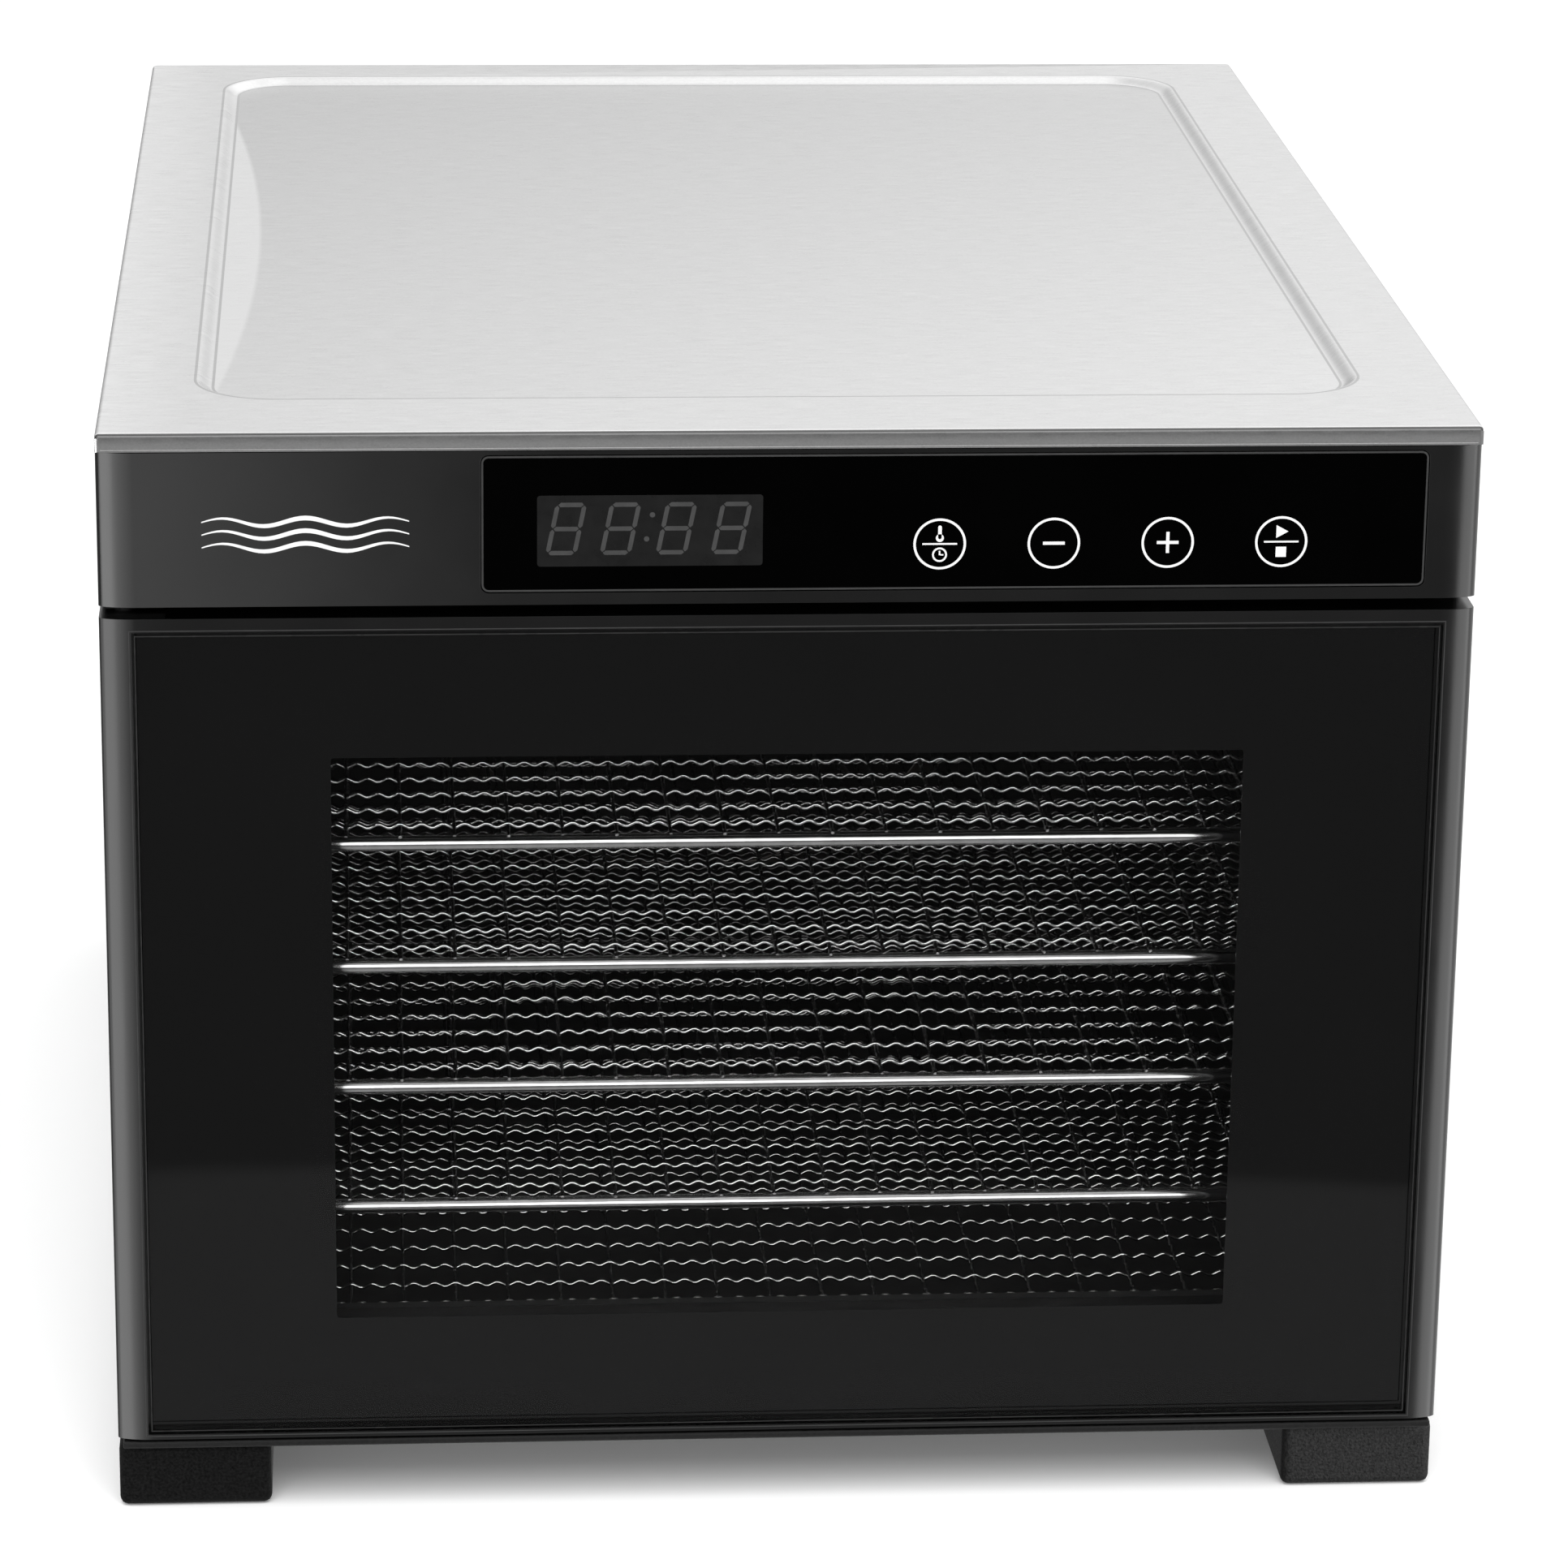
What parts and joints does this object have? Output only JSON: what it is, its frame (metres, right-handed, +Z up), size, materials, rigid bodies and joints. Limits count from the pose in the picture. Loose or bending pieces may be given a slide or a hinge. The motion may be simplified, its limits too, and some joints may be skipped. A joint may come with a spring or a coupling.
{
  "type": "food dehydrator",
  "caption": "Cabinet food dehydrator: steel housing with a side-hinged glass door, a stack of sliding wire trays, and a fan and ring heater behind a slotted baffle.",
  "frame": {"origin": "middle of the footprint, on the surface that the feet stand on", "axes": "+Z up, -Y towards the door, +X to the right as seen from the front"},
  "size_m": [0.34, 0.452, 0.286],
  "materials": {
    "steel": "brushed",
    "black_steel": "satin",
    "dark_enamel": "satin",
    "graphite_moulding": "satin",
    "gloss_black": "gloss",
    "display_grey": "satin",
    "door_glass": "gloss",
    "textured_plastic": "fine grain",
    "black_plastic": "satin",
    "rubber": "matt",
    "foam": "matt",
    "zinc": "zinc plated",
    "fan_steel": "rolled",
    "circuit_board": "lacquered",
    "tray_wire": "polished",
    "heater_tube": "heat stained",
    "ceramic": "glazed",
    "magnet": "satin",
    "cable": "satin"
  },
  "bodies": {
    "housing": {"housing_wrap": "steel", "chamber_wall_left": "dark_enamel", "chamber_wall_right": "dark_enamel", "chamber_floor": "dark_enamel", "chamber_ceiling": "dark_enamel", "air_baffle": "dark_enamel", "front_frame": "black_steel", "rear_cover": "black_steel", "hinge_bracket": "black_steel", "control_fascia": "graphite_moulding", "control_lens": "gloss_black", "display_module": "display_grey", "base_pan": "textured_plastic", "relay": "black_plastic", "buzzer": "black_plastic", "cord_bushing": "black_plastic", "motor_bracket": "black_plastic", "foot_front_left": "rubber", "foot_front_right": "rubber", "foot_back_left": "rubber", "foot_back_right": "rubber", "touch_pad_1": "foam", "touch_pad_2": "foam", "touch_pad_3": "foam", "touch_pad_4": "foam", "foot_screw_front_left": "zinc", "foot_screw_front_right": "zinc", "foot_screw_back_left": "zinc", "foot_screw_back_right": "zinc", "rear_screw_1": "zinc", "rear_screw_2": "zinc", "rear_screw_3": "zinc", "rear_screw_4": "zinc", "thermistor": "zinc", "heater_hanger": "zinc", "fan_motor": "zinc", "transformer": "zinc", "control_board": "circuit_board", "power_board": "circuit_board", "heating_element": "heater_tube", "thermal_fuse": "ceramic", "door_magnet": "magnet", "control_cable": "cable"},
    "door": {"door_frame": "graphite_moulding", "door_glass": "door_glass", "door_liner": "black_steel", "door_seal": "rubber", "strike_plate": "zinc", "hinge_pin_lower": "zinc", "hinge_pin_upper": "zinc"},
    "fan": {"fan_blades": "fan_steel", "motor_shaft": "zinc", "fan_nut": "zinc"},
    "tray_1": {"tray_1": "tray_wire"},
    "tray_2": {"tray_2": "tray_wire"},
    "tray_3": {"tray_3": "tray_wire"},
    "tray_4": {"tray_4": "tray_wire"},
    "tray_5": {"tray_5": "tray_wire"},
    "tray_6": {"tray_6": "tray_wire"}
  },
  "joints": [
    {"name": "door_hinge", "type": "hinge", "parent": "housing", "child": "door", "pos_m": [-0.164, -0.2135, 0.0204], "axis": [0, 0, -1], "range_deg": [0, 110]},
    {"name": "fan_spin", "type": "hinge", "parent": "housing", "child": "fan", "pos_m": [0, 0.15, 0.13], "axis": [0, 1, 0], "continuous": true},
    {"name": "tray_1_slide", "type": "slide", "parent": "housing", "child": "tray_1", "axis": [0, -1, 0], "range_m": [0, 0.014]},
    {"name": "tray_2_slide", "type": "slide", "parent": "housing", "child": "tray_2", "axis": [0, -1, 0], "range_m": [0, 0.014]},
    {"name": "tray_3_slide", "type": "slide", "parent": "housing", "child": "tray_3", "axis": [0, -1, 0], "range_m": [0, 0.014]},
    {"name": "tray_4_slide", "type": "slide", "parent": "housing", "child": "tray_4", "axis": [0, -1, 0], "range_m": [0, 0.014]},
    {"name": "tray_5_slide", "type": "slide", "parent": "housing", "child": "tray_5", "axis": [0, -1, 0], "range_m": [0, 0.014]},
    {"name": "tray_6_slide", "type": "slide", "parent": "housing", "child": "tray_6", "axis": [0, -1, 0], "range_m": [0, 0.014]}
  ]
}
